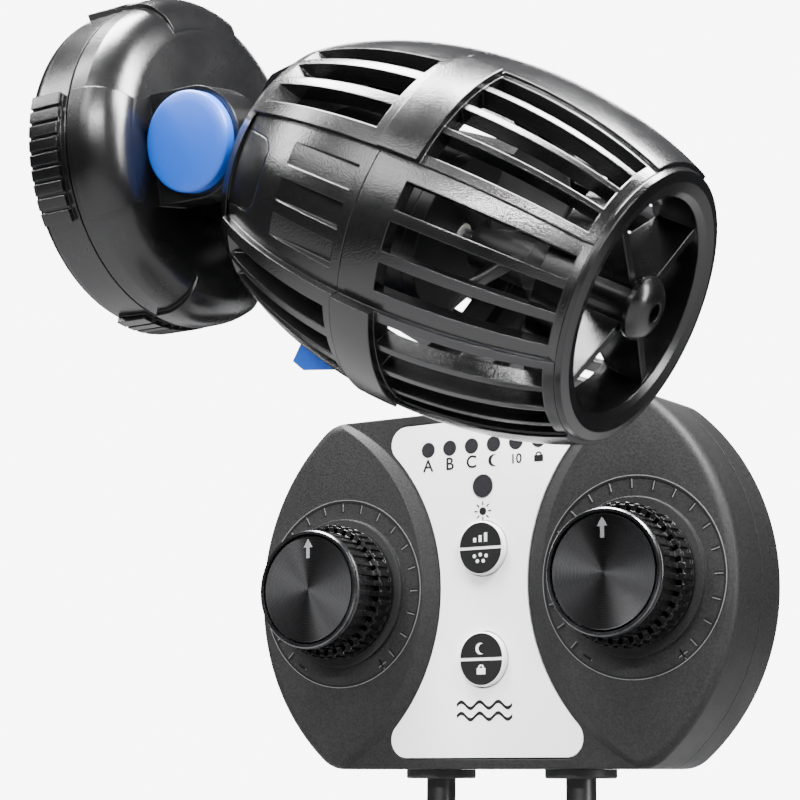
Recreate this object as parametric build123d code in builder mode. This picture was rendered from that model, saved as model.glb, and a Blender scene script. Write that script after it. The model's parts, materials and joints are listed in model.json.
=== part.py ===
"""Wave maker pump: a magnet mount for an aquarium pane, a tilting barrel pump and its wired controller.

The origin is the middle of the glass face between the two magnet halves. +X points into the tank and
+Z is up. Millimetres.
"""
import os
from math import cos, pi, radians, sin, sqrt, tan

from build123d import *

os.makedirs("parts", exist_ok=True)

# ---- magnet mount, in its own frame: +X into the tank, the pivot axis along Y
MOUNT_ROLL = 10.4  # the mount is turned this far about the glass normal
PUCK_RADIUS = 34.9
PUCK_OUTER_DEPTH = 12.2
PUCK_INNER_DEPTH = 11.4
PUCK_WALL = 2.2
PAD_GAP = 0.2  # half of the gap between the two halves
PAD_THICKNESS = 1.2
PAD_RADIUS = 30.0
MAGNET_RADIUS = 24.0
MAGNET_DEPTH = 5.0
GRIP_ARC = 44.0
GRIP_HEIGHT = 1.1
GRIP_RIBS = 9

# ---- pivot
PIVOT_X = 21.8
ARM_INNER, ARM_OUTER = 12.0, 20.6
ARM_RADIUS = 11.6
PIN_RADIUS = 2.5
KNUCKLE_RADIUS = 9.0
KNUCKLE_HALF = 11.5
DISC_RADIUS = 10.4
DISC_OUTER = 24.4

# ---- pump, in its own frame: +X along the barrel from the pivot, angles turn from +Z towards -Y
PUMP_TILT = 27.3
BARREL_MIDDLE = 57.0
BARREL_LENGTH_AXIS = 62.0
BARREL_RADIUS = 35.2
RAISED = 1.0  # upper and lower sectors and the two spines
SIDE_SWELL = -0.6  # the two side panels lie lower
BAND_RAISED = 1.9
CAP_START, CAP_END = 6.0, 15.0
REAR_START, SEAM, CAGE_END = 15.2, 51.0, 96.0
SEAM_GAP = 0.15
SHELL_WALL = 3.3
CAGE_WALL = 3.9
SIDE_HALF = 24.0  # half angle of each side sector
SPINE_HALF = 21.0  # half angle of each spine
BAND_END = 60.5
RIM_FRONT = 97.2
SLEEVE_START = 86.0
SLEEVE_INNER, SLEEVE_OUTER = 21.7, 23.2
RIM_OUTER = 27.6
HUB_FRONT = 98.2
HUB_RADIUS = 5.6
SHAFT_RADIUS = 1.5
MOTOR_RADIUS = 16.0
MOTOR_START, MOTOR_END = 15.6, 55.0
LUG_RADIUS = 22.2
PROPELLER_START, PROPELLER_LENGTH = 60.0, 15.0
PROPELLER_RADIUS = 20.4

# ---- controller, in its own frame: X to the right, Y up, the front face at Z = 0
PANEL_PLACE = (30.2, 77.5, -87.2)
PANEL_HALF_WIDTH, PANEL_HALF_HEIGHT = 64.6, 42.3
PANEL_CORNER_X = 43.0
PANEL_DEPTH, SHELL_SPLIT = 26.0, 14.0
PLATE_RECESS = 2.2
LEAF_STEP = 1.3  # the two leaf-shaped sides stand this far above the strip between them
LEAF_SLOPE = 4.2
PLATE_WAIST, PLATE_END_X, PLATE_END_Y = 12.1, 33.6, 40.0
KNOB_X = 39.6
KNOB_RADIUS, KNOB_FRONT = 14.2, 14.6
COLLAR_RADIUS = 18.0
BUTTON_RADIUS = 6.4
BUTTON_Y = (8.8, -17.1)
LED_PITCH, LED_Y = 6.1, 33.4
SENSOR_Y = 23.6
GLAND_X, GLAND_Z = 19.0, -12.6
LEAD_DIAMETER = 7.0

MOUNT = Location((0, 0, 0), (MOUNT_ROLL, 0, 0))
PUMP = MOUNT * Location((PIVOT_X, 0, 0)) * Location((0, 0, 0), (0, PUMP_TILT, 0))
PANEL = Plane(origin=PANEL_PLACE, x_dir=(1, 0, 0), z_dir=(0, -1, 0)).location


def save(piece, name, place=Location()):
    """Labels a finished piece, puts it in its place in the assembly and writes it."""
    made = piece.part.moved(place)
    made.label = name
    export_step(made, f"parts/{name}.step")


def radial(angle):
    """The plane of (along the axis, radius) at an angle about +X, from +Z towards -Y."""
    a = radians(angle)
    return Plane(origin=(0, 0, 0), x_dir=(1, 0, 0), z_dir=(0, -cos(a), -sin(a)))


def turned(points, start=0.0, arc=360.0, mode=Mode.ADD):
    """An outline of (along, radius) points turned about +X from an angle through an arc."""
    with BuildSketch(radial(start)) as outline:
        with BuildLine():
            Polyline(*points, close=True)
        make_face()
    revolve(outline.sketch.faces(), axis=Axis.X, revolution_arc=arc, mode=mode)


def ring(x0, x1, inner, outer, mode=Mode.ADD):
    """A plain collar about +X."""
    turned([(x0, inner), (x1, inner), (x1, outer), (x0, outer)], mode=mode)


def skin(along, swell=0.0):
    """The barrel's radius at a place on its axis."""
    return (BARREL_RADIUS + swell) * sqrt(1 - ((along - BARREL_MIDDLE) / (BARREL_LENGTH_AXIS + swell)) ** 2)


def barrel(swell=0.0, start=0.0, arc=360.0, mode=Mode.ADD):
    """The whole barrel, or a sector of it, as a solid of revolution."""
    with BuildSketch(radial(start)) as outline:
        with BuildLine():
            half = EllipticalCenterArc(
                (BARREL_MIDDLE, 0), BARREL_LENGTH_AXIS + swell, BARREL_RADIUS + swell, 0, arc_size=180
            )
            Line(half @ 0, half @ 1)
        make_face()
    revolve(outline.sketch.faces(), axis=Axis.X, revolution_arc=arc, mode=mode)


def shell_between(outer_swell, inner_swell, start, arc, mode=Mode.ADD):
    """A sector of the skin between two swells."""
    with BuildSketch(radial(start)) as outline:
        with BuildLine():
            for swell in (outer_swell, inner_swell):
                EllipticalCenterArc(
                    (BARREL_MIDDLE, 0), BARREL_LENGTH_AXIS + swell, BARREL_RADIUS + swell, 20, arc_size=140
                )
            Line(edge_end(outer_swell, 20), edge_end(inner_swell, 20))
            Line(edge_end(outer_swell, 160), edge_end(inner_swell, 160))
        make_face()
    revolve(outline.sketch.faces(), axis=Axis.X, revolution_arc=arc, mode=mode)


def edge_end(swell, angle):
    """The point of the barrel's outline at an ellipse angle."""
    a = radians(angle)
    return (
        BARREL_MIDDLE + (BARREL_LENGTH_AXIS + swell) * cos(a),
        (BARREL_RADIUS + swell) * sin(a),
    )


def keep_between(x0, x1):
    """Trims the part to a slab across +X."""
    with BuildSketch(Plane.YZ.offset(x0)) as slab:
        Circle(60)
    extrude(slab.sketch, amount=x1 - x0, mode=Mode.INTERSECT)


def disc_y(radius, y0, y1, x=0.0, z=0.0, mode=Mode.ADD):
    """A round slab along +Y between two heights."""
    low, high = min(y0, y1), max(y0, y1)
    with BuildSketch(Plane(origin=(x, low, z), x_dir=(1, 0, 0), z_dir=(0, 1, 0))) as outline:
        Circle(radius)
    extrude(outline.sketch, amount=high - low, mode=mode)


# ------------------------------------------------------------------ magnet mount
def grip_pads(x0, x1, ribs):
    """Four raised pads around the puck; ribs cut fine grooves along them."""
    for middle in (0, 90, 180, 270):
        turned(
            [(x0, PUCK_RADIUS - 2), (x1, PUCK_RADIUS - 2), (x1, PUCK_RADIUS + GRIP_HEIGHT),
             (x0, PUCK_RADIUS + GRIP_HEIGHT)],
            middle - GRIP_ARC / 2,
            GRIP_ARC,
        )
        if ribs:
            pitch = GRIP_ARC / ribs
            for i in range(1, ribs):
                turned(
                    [(x0 - 1, PUCK_RADIUS + 0.35), (x1 + 1, PUCK_RADIUS + 0.35),
                     (x1 + 1, PUCK_RADIUS + 3), (x0 - 1, PUCK_RADIUS + 3)],
                    middle - GRIP_ARC / 2 + i * pitch - 0.6,
                    1.2,
                    Mode.SUBTRACT,
                )


with BuildPart() as outer_holder:
    back = -PUCK_OUTER_DEPTH
    with BuildSketch(radial(0)):
        with BuildLine():
            Polyline((back, 0), (back, PUCK_RADIUS - 4.5))
            ThreePointArc(
                (back, PUCK_RADIUS - 4.5), (back + 1.2, PUCK_RADIUS - 1.3), (back + 4, PUCK_RADIUS - 0.3)
            )
            Polyline((back + 4, PUCK_RADIUS - 0.3), (-PAD_GAP, PUCK_RADIUS), (-PAD_GAP, 0), (back, 0))
        make_face()
    revolve(axis=Axis.X)
    grip_pads(back + 3.0, -1.6, GRIP_RIBS)
    ring(-PAD_GAP - PAD_THICKNESS - 0.05, 0.5, 0, PAD_RADIUS + 0.1, Mode.SUBTRACT)
    ring(-8.2, 0.5, 0, MAGNET_RADIUS + 0.15, Mode.SUBTRACT)
save(outer_holder, "outer_holder", MOUNT)

with BuildPart() as outer_magnet:
    ring(-8.1, -8.1 + MAGNET_DEPTH, 0, MAGNET_RADIUS)
save(outer_magnet, "outer_magnet", MOUNT)

with BuildPart() as outer_pad:
    ring(-PAD_GAP - PAD_THICKNESS, -PAD_GAP, 0, PAD_RADIUS)
save(outer_pad, "outer_pad", MOUNT)

with BuildPart() as inner_holder:
    face = PUCK_INNER_DEPTH
    with BuildSketch(radial(0)):
        with BuildLine():
            Polyline((PAD_GAP, 0), (PAD_GAP, PUCK_RADIUS), (4.2, PUCK_RADIUS - 0.2))
            ThreePointArc(
                (4.2, PUCK_RADIUS - 0.2), (9.2, PUCK_RADIUS - 2.8), (face, PUCK_RADIUS - 8)
            )
            Polyline((face, PUCK_RADIUS - 8), (face, 0), (PAD_GAP, 0))
        make_face()
    revolve(axis=Axis.X)
    for middle in (0, 90, 180, 270):
        with BuildSketch(radial(middle - GRIP_ARC / 2)):
            with BuildLine():
                Polyline((1.6, PUCK_RADIUS - 3), (1.6, PUCK_RADIUS + GRIP_HEIGHT - 0.2),
                         (4.4, PUCK_RADIUS + GRIP_HEIGHT - 0.3))
                ThreePointArc(
                    (4.4, PUCK_RADIUS + GRIP_HEIGHT - 0.3),
                    (9.6, PUCK_RADIUS - 1.8),
                    (face, PUCK_RADIUS - 7),
                )
                Polyline((face, PUCK_RADIUS - 7), (face - 2, PUCK_RADIUS - 12), (1.6, PUCK_RADIUS - 3))
            make_face()
        revolve(axis=Axis.X, revolution_arc=GRIP_ARC)
    for side in (-1, 1):
        with BuildSketch(Plane(origin=(0, side * ARM_INNER, 0), x_dir=(1, 0, 0), z_dir=(0, side, 0))):
            with Locations((PIVOT_X, 0)):
                Circle(ARM_RADIUS)
            with Locations(((face - 3 + PIVOT_X) / 2, 0)):
                Rectangle(PIVOT_X - face + 3, 2 * ARM_RADIUS)
        extrude(amount=ARM_OUTER - ARM_INNER)
    ring(-0.5, PAD_GAP + PAD_THICKNESS + 0.05, 0, PAD_RADIUS + 0.1, Mode.SUBTRACT)
    ring(-0.5, 6.6, 0, MAGNET_RADIUS + 0.15, Mode.SUBTRACT)
    disc_y(PIN_RADIUS, -DISC_OUTER, DISC_OUTER, x=PIVOT_X, mode=Mode.SUBTRACT)
save(inner_holder, "inner_holder", MOUNT)

with BuildPart() as inner_magnet:
    ring(6.5 - MAGNET_DEPTH, 6.5, 0, MAGNET_RADIUS)
save(inner_magnet, "inner_magnet", MOUNT)

with BuildPart() as inner_pad:
    ring(PAD_GAP, PAD_GAP + PAD_THICKNESS, 0, PAD_RADIUS)
save(inner_pad, "inner_pad", MOUNT)

with BuildPart() as pivot_pin:
    disc_y(PIN_RADIUS, -ARM_OUTER, ARM_OUTER, x=PIVOT_X)
save(pivot_pin, "pivot_pin", MOUNT)

for name, side in (("pivot_cap_front", -1), ("pivot_cap_rear", 1)):
    with BuildPart() as pivot_cap:
        with BuildSketch(Plane(origin=(PIVOT_X, side * ARM_OUTER, 0), x_dir=(1, 0, 0), z_dir=(0, side, 0))):
            Circle(DISC_RADIUS)
        extrude(amount=DISC_OUTER - ARM_OUTER)
        rim = pivot_cap.faces().sort_by(Axis.Y)[0 if side < 0 else -1].edges()
        fillet(rim, 0.7)
    save(pivot_cap, name, MOUNT)

with BuildPart() as friction_washers:
    for side in (-1, 1):
        washer_seat = (PIVOT_X, side * (KNUCKLE_HALF + 0.08), 0)
        with BuildSketch(Plane(origin=washer_seat, x_dir=(1, 0, 0), z_dir=(0, side, 0))):
            Circle(6.5)
            Circle(PIN_RADIUS + 0.05, mode=Mode.SUBTRACT)
        extrude(amount=ARM_INNER - KNUCKLE_HALF - 0.08)
save(friction_washers, "friction_washers", MOUNT)

# ------------------------------------------------------------------ pump: casings
TONGUE_LENGTH = 24.6
TONGUE_HALF = 7.4
LEAD_GLAND_X = 19.2
GLAND_HOLE = 3.6


def tongue_prism(extra, mode):
    """The rounded outline of the rear cap's two side tongues, cut across the barrel."""
    with BuildSketch(Plane(origin=(0, 60, 0), x_dir=(1, 0, 0), z_dir=(0, -1, 0))) as outline:
        with Locations(((TONGUE_LENGTH + 4) / 2 + extra / 2, 0)):
            RectangleRounded(TONGUE_LENGTH - 4 + extra, 2 * (TONGUE_HALF + extra), 3.2 + extra)
    extrude(outline.sketch, amount=120, mode=mode)


def sector_centres(offsets):
    """Angles of the upper and lower sectors' features, on both sides of the barrel."""
    return [side + turn * offset for side in (0, 180) for turn in (1, -1) for offset in offsets]


with BuildPart() as rear_cap:
    barrel(SIDE_SWELL)
    barrel(-SHELL_WALL, mode=Mode.SUBTRACT)
    tongue_prism(0, Mode.INTERSECT)
    keep_between(CAP_END - 1.0, TONGUE_LENGTH)
    with BuildSketch(radial(0)):
        with BuildLine():
            Polyline(
                (CAP_START, 0),
                (CAP_START, skin(CAP_START) - 1.4),
                (CAP_START + 1.2, skin(CAP_START + 1.2)),
                (10.5, skin(10.5)),
                (CAP_END, skin(CAP_END)),
                (CAP_END, 0),
                (CAP_START, 0),
            )
        make_face()
    revolve(axis=Axis.X)
    for side in (-1, 1):
        disc_y(ARM_RADIUS + 0.9, side * KNUCKLE_HALF, side * 40, mode=Mode.SUBTRACT)
        with BuildSketch(Plane(origin=(0, side * KNUCKLE_HALF, 0), x_dir=(1, 0, 0), z_dir=(0, side, 0))):
            Rectangle(2 * CAP_END - 5, 80)
        extrude(amount=ARM_OUTER + 5 - KNUCKLE_HALF, mode=Mode.SUBTRACT)
    disc_y(KNUCKLE_RADIUS, -KNUCKLE_HALF, KNUCKLE_HALF)
    disc_y(PIN_RADIUS + 0.05, -KNUCKLE_HALF - 1, KNUCKLE_HALF + 1, mode=Mode.SUBTRACT)
    disc_y(GLAND_HOLE, 20.0, 34.0, x=LEAD_GLAND_X, mode=Mode.SUBTRACT)
save(rear_cap, "rear_cap", PUMP)

REAR_SLOTS = (31.0, 43.5, 56.0)
SLOT_BACK, SLOT_FRONT = 17.6, 48.4
POCKET_BACK, POCKET_FRONT = 30.8, 48.4
POCKET_DEPTH = 2.0
with BuildPart() as rear_shell:
    barrel(RAISED)
    for middle in (90, 270):
        shell_between(6.0, SIDE_SWELL, middle - SIDE_HALF, 2 * SIDE_HALF, Mode.SUBTRACT)
    barrel(-SHELL_WALL, mode=Mode.SUBTRACT)
    keep_between(REAR_START, SEAM - SEAM_GAP)
    for middle in sector_centres(REAR_SLOTS):
        turned(
            [(SLOT_BACK, skin(SLOT_BACK, RAISED)), (SLOT_BACK + 6.4, skin(SLOT_BACK + 6.4) - 5),
             (SLOT_FRONT, skin(SLOT_FRONT) - 6), (SLOT_FRONT, 42), (SLOT_BACK, 42)],
            middle - 4.4,
            8.8,
            Mode.SUBTRACT,
        )
    for middle in (90, 270):
        for offset in (-13, 0, 13):
            turned(
                [(POCKET_BACK, skin(POCKET_BACK, SIDE_SWELL) + 0.05),
                 (POCKET_FRONT, skin(POCKET_FRONT, SIDE_SWELL) - POCKET_DEPTH),
                 (POCKET_FRONT, 42), (POCKET_BACK, 42)],
                middle + offset - 4.2,
                8.4,
                Mode.SUBTRACT,
            )
    tongue_prism(0.2, Mode.SUBTRACT)
    with BuildSketch(Plane.XY.offset(-26.0)):
        with Locations((33.3, 0)):
            Rectangle(14.0, 9.4)
    extrude(amount=-14.0, mode=Mode.SUBTRACT)
save(rear_shell, "rear_shell", PUMP)

FRONT_SLOTS = (26.4, 36.6, 47.5, 58.4)
SIDE_SLOTS = (-13.2, 0.0, 13.2)
SIDE_SLOT_BACK = 59.4
with BuildPart() as front_cage:
    barrel(RAISED)
    keep_between(SEAM, CAGE_END)
    for middle in sector_centres((SIDE_HALF + 20.0,)):
        shell_between(BAND_RAISED, -1.0, middle - 22.0, 44.0)
    keep_between(SEAM, CAGE_END)
    for middle in (90, 270):
        shell_between(6.0, SIDE_SWELL, middle - SIDE_HALF, 2 * SIDE_HALF, Mode.SUBTRACT)
    for middle in sector_centres((SIDE_HALF + 20.0,)):
        with BuildSketch(radial(middle - 23.5)):
            with BuildLine():
                outline = [(x, skin(x, 0.3)) for x in (BAND_END, 71, 81, 89, CAGE_END + 1)]
                Spline(*outline)
                Polyline(outline[-1], (CAGE_END + 1, 44), (BAND_END, 44), outline[0])
            make_face()
        revolve(axis=Axis.X, revolution_arc=45.5, mode=Mode.SUBTRACT)
    barrel(-CAGE_WALL, mode=Mode.SUBTRACT)
    ring(CAGE_END - 2.6, CAGE_END, SLEEVE_OUTER + 0.15, skin(CAGE_END - 1.2, -0.4))
    for middle in sector_centres(FRONT_SLOTS):
        width = 7.2 if abs(abs((middle + 90) % 180 - 90) - FRONT_SLOTS[0]) < 0.1 else 8.6
        turned(
            [(BAND_END + 0.1, 12), (CAGE_END - 1.9, 12), (CAGE_END - 1.9, 42), (BAND_END + 0.1, 42)],
            middle - width / 2,
            width,
            Mode.SUBTRACT,
        )
    for side in (90, 270):
        for offset in SIDE_SLOTS:
            turned(
                [(SIDE_SLOT_BACK, 12), (CAGE_END - 1.9, 12), (CAGE_END - 1.9, 42), (SIDE_SLOT_BACK, 42)],
                side + offset - 4.7,
                9.4,
                Mode.SUBTRACT,
            )
    ring(SEAM - 3.4, SEAM + 0.3, 29.4, 31.0)
    ring(SEAM + 0.2, SEAM + 2.5, 29.4, 32.0)
save(front_cage, "front_cage", PUMP)

with BuildPart() as nozzle:
    turned([(SLEEVE_START, SLEEVE_INNER), (RIM_FRONT - 1, SLEEVE_INNER), (RIM_FRONT, SLEEVE_INNER + 1.2),
            (RIM_FRONT + 0.5, 25.2), (RIM_FRONT, RIM_OUTER - 0.5), (CAGE_END + 0.1, RIM_OUTER),
            (CAGE_END + 0.1, SLEEVE_OUTER), (SLEEVE_START, SLEEVE_OUTER)])
    ring(80.0, HUB_FRONT - 1.7, 0, HUB_RADIUS)
    for angle in (45, 135, 225, 315):
        with BuildSketch(Plane(origin=(0, 0, 0), x_dir=(1, 0, 0), z_dir=radial(angle).z_dir)):
            with BuildLine():
                Polyline((82, 4), (82, HUB_RADIUS + 1), (87.5, SLEEVE_INNER + 0.4),
                         (RIM_FRONT - 1.6, SLEEVE_INNER + 0.4), (HUB_FRONT - 2.2, 4), close=True)
            make_face()
        extrude(amount=0.9, both=True)
    ring(79.0, 88.0, 0, 3.1, Mode.SUBTRACT)
    ring(80.0, HUB_FRONT, 0, SHAFT_RADIUS + 0.3, Mode.SUBTRACT)
save(nozzle, "nozzle", PUMP)

with BuildPart() as hub_cap:
    with BuildSketch(radial(0)):
        with BuildLine():
            Polyline((HUB_FRONT - 1.6, 1.9), (HUB_FRONT - 1.6, 6.3), (HUB_FRONT - 0.6, 6.5))
            ThreePointArc((HUB_FRONT - 0.6, 6.5), (HUB_FRONT + 1.4, 4.4), (HUB_FRONT + 1.9, 1.9))
            Line((HUB_FRONT + 1.9, 1.9), (HUB_FRONT - 1.6, 1.9))
        make_face()
    revolve(axis=Axis.X)
save(hub_cap, "hub_cap", PUMP)

with BuildPart() as front_bearing:
    ring(80.2, 87.9, SHAFT_RADIUS + 0.04, 3.1)
save(front_bearing, "front_bearing", PUMP)

# ------------------------------------------------------------------ pump: motor and propeller
with BuildPart() as motor_housing:
    ring(MOTOR_START, MOTOR_END - 3.2, 14.2, MOTOR_RADIUS)
    turned([(MOTOR_START, 14.2), (MOTOR_START, 21.5), (MOTOR_START + 2.6, 21.5), (MOTOR_START + 6, MOTOR_RADIUS),
            (MOTOR_START + 6, 14.2)])
    for angle in (45, 135, 225, 315):
        turned([(MOTOR_START, 21.0), (MOTOR_START, LUG_RADIUS), (MOTOR_START + 2.4, LUG_RADIUS),
                (MOTOR_START + 2.4, 21.0)], angle - 9, 18)
save(motor_housing, "motor_housing", PUMP)

with BuildPart() as motor_end_cap:
    ring(MOTOR_END - 3.1, MOTOR_END, 2.3, MOTOR_RADIUS)
    ring(MOTOR_END - 6.0, MOTOR_END - 3.0, 2.3, 5.0)
save(motor_end_cap, "motor_end_cap", PUMP)

with BuildPart() as housing_seal:
    ring(MOTOR_END - 5.4, MOTOR_END - 3.2, 12.6, 14.1)
save(housing_seal, "housing_seal", PUMP)

with BuildPart() as stator_core:
    ring(24.0, 45.0, 8.2, 14.0)
    for i in range(6):
        turned([(22.0, 8.0), (48.0, 8.0), (48.0, 12.2), (22.0, 12.2)], i * 60 + 12, 36, Mode.SUBTRACT)
save(stator_core, "stator_core", PUMP)

with BuildPart() as stator_windings:
    for i in range(6):
        turned([(22.5, 8.6), (46.5, 8.6), (46.5, 11.9), (22.5, 11.9)], i * 60 + 14, 32)
save(stator_windings, "stator_windings", PUMP)

with BuildPart() as shaft:
    ring(18.2, 87.6, 0, SHAFT_RADIUS)
save(shaft, "shaft", PUMP)

with BuildPart() as rotor_magnet:
    ring(23.0, 46.0, SHAFT_RADIUS, 7.4)
save(rotor_magnet, "rotor_magnet", PUMP)

with BuildPart() as rear_bearing:
    ring(18.0, 22.0, SHAFT_RADIUS + 0.04, 4.0)
    ring(CAP_END + 0.1, 18.0, 0, 4.0)
save(rear_bearing, "rear_bearing", PUMP)

with BuildPart() as middle_bearing:
    ring(MOTOR_END - 5.8, MOTOR_END + 0.4, SHAFT_RADIUS + 0.04, 2.3)
save(middle_bearing, "middle_bearing", PUMP)


def blade_section(radius, twist):
    """The thin section of one blade, on a plane across its radius."""
    return Plane(origin=(PROPELLER_START + PROPELLER_LENGTH / 2, 0, radius),
                 x_dir=(cos(radians(twist)), sin(radians(twist)), 0), z_dir=(0, 0, 1))


with BuildPart() as propeller:
    with BuildSketch(blade_section(3.0, 28)) as root_section:
        Ellipse(6.4, 1.2)
    with BuildSketch(blade_section(12.0, 52)) as middle_section:
        Ellipse(8.0, 0.9)
    with BuildSketch(blade_section(PROPELLER_RADIUS, 66)) as tip_section:
        Ellipse(7.0, 0.6)
    loft()
    blade = propeller.part
    for i in (1, 2):
        add(blade.rotate(Axis.X, i * 120))
    ring(PROPELLER_START, PROPELLER_START + PROPELLER_LENGTH - 2, 0, 5.2)
    turned([(PROPELLER_START + PROPELLER_LENGTH - 2.01, 0), (PROPELLER_START + PROPELLER_LENGTH - 2.01, 5.2),
            (PROPELLER_START + PROPELLER_LENGTH + 1, 2.4), (PROPELLER_START + PROPELLER_LENGTH + 1, 0)])
    ring(50, 90, 0, SHAFT_RADIUS, Mode.SUBTRACT)
save(propeller, "propeller", PUMP)

# ------------------------------------------------------------------ pump: latch and lead gland
LATCH_X0, LATCH_X1 = 28.4, 38.0
with BuildPart() as release_latch:
    with BuildSketch(Plane(origin=(0, 0, 0), x_dir=(1, 0, 0), z_dir=(0, 1, 0))):
        with BuildLine():
            Polyline((LATCH_X0, 28.4), (LATCH_X0, 33.6), (LATCH_X0 - 0.6, 37.4), (LATCH_X0 + 2.6, 38.2),
                     (LATCH_X1, 35.4), (LATCH_X1, 28.4), close=True)
        make_face()
    extrude(amount=4.4, both=True)
save(release_latch, "release_latch", PUMP)

with BuildPart() as latch_spring:
    for i in range(2):
        with BuildSketch(Plane.YZ.offset(LATCH_X1 + 0.15)):
            with Locations((-2.2 + 4.4 * i, -31.0)):
                Circle(0.9)
        extrude(amount=2.0)
save(latch_spring, "latch_spring", PUMP)

with BuildPart() as pump_lead_gland:
    disc_y(GLAND_HOLE - 0.05, 24.0, 30.1, x=LEAD_GLAND_X)
    disc_y(5.4, 30.0, 33.2, x=LEAD_GLAND_X)
    with BuildSketch(Plane(origin=(LEAD_GLAND_X, 33.2, 0), x_dir=(1, 0, 0), z_dir=(0, 1, 0))):
        Circle(5.0)
    extrude(amount=6.0, taper=4)
    disc_y(2.6, 22.0, 42.0, x=LEAD_GLAND_X, mode=Mode.SUBTRACT)
save(pump_lead_gland, "pump_lead_gland", PUMP)

# ------------------------------------------------------------------ controller casings


def panel_outline(inset=0.0):
    """The controller's outline: straight top and bottom, bulging sides."""
    w, h, c = PANEL_HALF_WIDTH - inset, PANEL_HALF_HEIGHT - inset, PANEL_CORNER_X - inset * 0.6
    with BuildLine() as line:
        Line((-c, h), (c, h))
        ThreePointArc((c, h), (w, 0), (c, -h))
        Line((c, -h), (-c, -h))
        ThreePointArc((-c, -h), (-w, 0), (-c, h))
    made = make_face(line.edges())
    fillet(made.vertices(), 9.0 - inset * 0.8)


def plate_outline(inset=0.0):
    """The hourglass of the face plate and its recess."""
    x, y, waist = PLATE_END_X - inset, PLATE_END_Y - inset, PLATE_WAIST - inset
    with BuildLine() as line:
        Line((-x, y), (x, y))
        ThreePointArc((x, y), (waist, 0), (x, -y))
        Line((x, -y), (-x, -y))
        ThreePointArc((-x, -y), (-waist, 0), (-x, y))
    made = make_face(line.edges())
    fillet(made.vertices(), 4.6 - inset)


def strip_outline(spread):
    """The strip between the two leaves, wider by a spread and past the top and bottom edges."""
    waist, end, reach = PLATE_WAIST + spread, PANEL_CORNER_X - 1.5 + spread * 0.5, PANEL_HALF_HEIGHT + 0.6
    with BuildLine() as line:
        Line((-end, reach), (end, reach))
        ThreePointArc((end, reach), (waist, 0), (end, -reach))
        Line((end, -reach), (-end, -reach))
        ThreePointArc((-end, -reach), (-waist, 0), (-end, reach))
    make_face(line.edges())


def bar(sketch_z, amount, x, y, radius, mode=Mode.ADD):
    """A round bar along the panel's Z."""
    with BuildSketch(Plane.XY.offset(sketch_z)) as outline:
        with Locations((x, y)):
            Circle(radius)
    extrude(outline.sketch, amount=amount, mode=mode)


LED_X = [LED_PITCH * (i - 2.5) for i in range(6)]
SCREWS = [(sx * 46, sy * 31) for sx in (-1, 1) for sy in (-1, 1)]

with BuildPart() as front_shell:
    with BuildSketch(Plane.XY.offset(-SHELL_SPLIT)):
        panel_outline()
    extrude(amount=SHELL_SPLIT)
    fillet(front_shell.faces().sort_by(Axis.Z)[-1].outer_wire().edges(), 2.2)
    with BuildSketch(Plane.XY.offset(-LEAF_STEP)) as strip_floor:
        strip_outline(0.3)
    with BuildSketch(Plane.XY.offset(0.01)) as strip_top:
        strip_outline(LEAF_SLOPE)
    loft(sections=[strip_floor.sketch.face(), strip_top.sketch.face()], mode=Mode.SUBTRACT)
    with BuildSketch(Plane.XY.offset(-PLATE_RECESS)):
        plate_outline()
    extrude(amount=5, mode=Mode.SUBTRACT)
    with BuildSketch(Plane.XY.offset(-SHELL_SPLIT)):
        panel_outline(2.4)
    extrude(amount=SHELL_SPLIT - PLATE_RECESS - 2.2, mode=Mode.SUBTRACT)
    for x in (-KNOB_X, KNOB_X):
        bar(-0.5, 1.7, x, 0, COLLAR_RADIUS)
        bar(-8, 12, x, 0, 4.2, Mode.SUBTRACT)
    for y in BUTTON_Y:
        bar(-8, 9, 0, y, BUTTON_RADIUS + 0.25, Mode.SUBTRACT)
    for x in LED_X:
        bar(-8, 9, x, LED_Y, 1.9, Mode.SUBTRACT)
    bar(-8, 9, 0, SENSOR_Y, 2.8, Mode.SUBTRACT)
    for x, y in SCREWS:
        bar(-SHELL_SPLIT + 0.2, 9.4, x, y, 3.2)
        bar(-SHELL_SPLIT - 1, 8.2, x, y, 1.3, Mode.SUBTRACT)
    for x in (-GLAND_X, GLAND_X):
        with BuildSketch(Plane(origin=(x, -30, GLAND_Z), x_dir=(1, 0, 0), z_dir=(0, -1, 0))):
            Circle(5.15)
        extrude(amount=20, mode=Mode.SUBTRACT)
save(front_shell, "front_shell", PANEL)

with BuildPart() as back_shell:
    with BuildSketch(Plane.XY.offset(-PANEL_DEPTH)):
        panel_outline()
    extrude(amount=PANEL_DEPTH - SHELL_SPLIT - SEAM_GAP)
    fillet(back_shell.faces().sort_by(Axis.Z)[0].edges(), 2.6)
    with BuildSketch(Plane.XY.offset(-PANEL_DEPTH + 2.4)):
        panel_outline(2.4)
    extrude(amount=PANEL_DEPTH, mode=Mode.SUBTRACT)
    for x, y in SCREWS:
        bar(-PANEL_DEPTH + 1, PANEL_DEPTH - SHELL_SPLIT - SEAM_GAP - 1, x, y, 3.2)
        bar(-PANEL_DEPTH - 1, 20, x, y, 1.5, Mode.SUBTRACT)
        bar(-PANEL_DEPTH - 1, 3.2, x, y, 2.9, Mode.SUBTRACT)
    for x in (-GLAND_X, GLAND_X):
        with BuildSketch(Plane(origin=(x, -30, GLAND_Z), x_dir=(1, 0, 0), z_dir=(0, -1, 0))):
            Circle(5.15)
        extrude(amount=20, mode=Mode.SUBTRACT)
save(back_shell, "back_shell", PANEL)

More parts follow.
